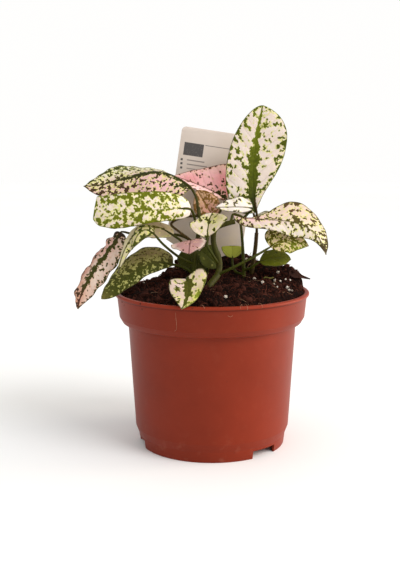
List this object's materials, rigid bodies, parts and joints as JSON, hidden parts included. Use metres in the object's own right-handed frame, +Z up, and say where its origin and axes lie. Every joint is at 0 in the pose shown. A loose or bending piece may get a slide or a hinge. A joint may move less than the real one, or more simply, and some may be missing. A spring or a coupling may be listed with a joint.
{
  "type": "potted polka dot plant",
  "caption": "Polka dot plant with pink and cream leaves speckled green, in a red-brown nursery pot of peat with a plastic label.",
  "frame": {"origin": "middle of the pot's underside, on the surface that it stands on", "axes": "+Z up; -Y is the front, where the picture looks from; +X is to the right seen from the front"},
  "size_m": [0.1587, 0.1238, 0.2131],
  "materials": {
    "pot_plastic": "satin red-brown moulded plastic",
    "peat": "crumbly dark peat with fibres and white perlite",
    "label_plastic": "matt off-white card-like plastic",
    "stem": "green to red-brown, finely hairy",
    "cream_leaf": "soft leaf, cream with green specks",
    "pink_leaf": "soft leaf, pink with dark green specks",
    "green_leaf": "soft leaf, green"
  },
  "bodies": {
    "root": {"pot": "pot_plastic", "soil": "peat", "label": "label_plastic", "stem_front": "stem", "stem_left": "stem", "stem_middle": "stem", "stem_right": "stem", "stem_inner": "stem", "stem_back": "stem", "leaf_upright": "cream_leaf", "leaf_big_left": "cream_leaf", "leaf_oval_left": "cream_leaf", "leaf_pink": "pink_leaf", "leaf_arched": "cream_leaf", "leaf_inner_arch": "cream_leaf", "leaf_far_left": "pink_leaf", "leaf_low_left": "green_leaf", "leaf_small_drooping": "pink_leaf", "leaf_heart": "cream_leaf", "leaf_long_right": "cream_leaf", "leaf_mottled": "cream_leaf", "leaf_cream_centre": "cream_leaf", "leaf_white": "cream_leaf", "leaf_young": "pink_leaf", "seed_leaf_round": "green_leaf", "seed_leaf_small": "green_leaf", "seed_leaf_centre": "green_leaf", "seed_leaf_left": "green_leaf", "leaf_back_left": "cream_leaf", "leaf_back_upright": "cream_leaf", "leaf_back_right": "cream_leaf", "leaf_back_tall": "pink_leaf"}
  },
  "joints": []
}
